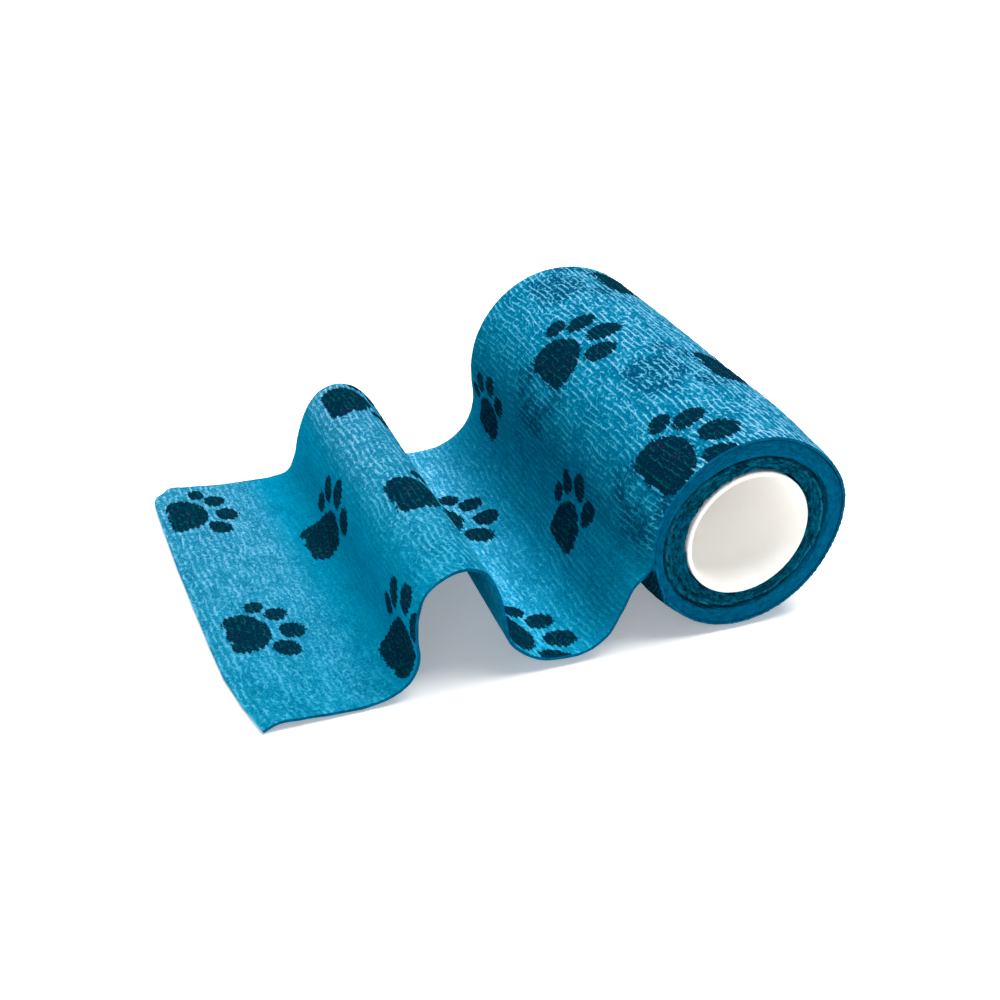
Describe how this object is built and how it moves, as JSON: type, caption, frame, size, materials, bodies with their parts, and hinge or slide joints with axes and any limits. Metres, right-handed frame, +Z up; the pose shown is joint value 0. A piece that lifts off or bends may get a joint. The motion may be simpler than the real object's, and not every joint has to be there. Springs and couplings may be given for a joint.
{
  "type": "cohesive bandage roll",
  "caption": "Roll of crinkled self-sticking bandage on an open plastic core, its loose end lying beside it in one tall fold.",
  "frame": {"origin": "centre of the bounding box's bottom face, on the surface that the roll and its loose end lie on", "axes": "+X from the cut end towards the roll, +Y along the roll's axis away from the near end, +Z up"},
  "size_m": [0.1357, 0.1, 0.0491],
  "materials": {
    "crepe_fabric": "crinkled non-woven elastic strip, blue with a dark paw print",
    "white_plastic": "smooth moulded white plastic"
  },
  "bodies": {
    "root": {"bandage": "crepe_fabric", "core": "white_plastic"}
  },
  "joints": []
}
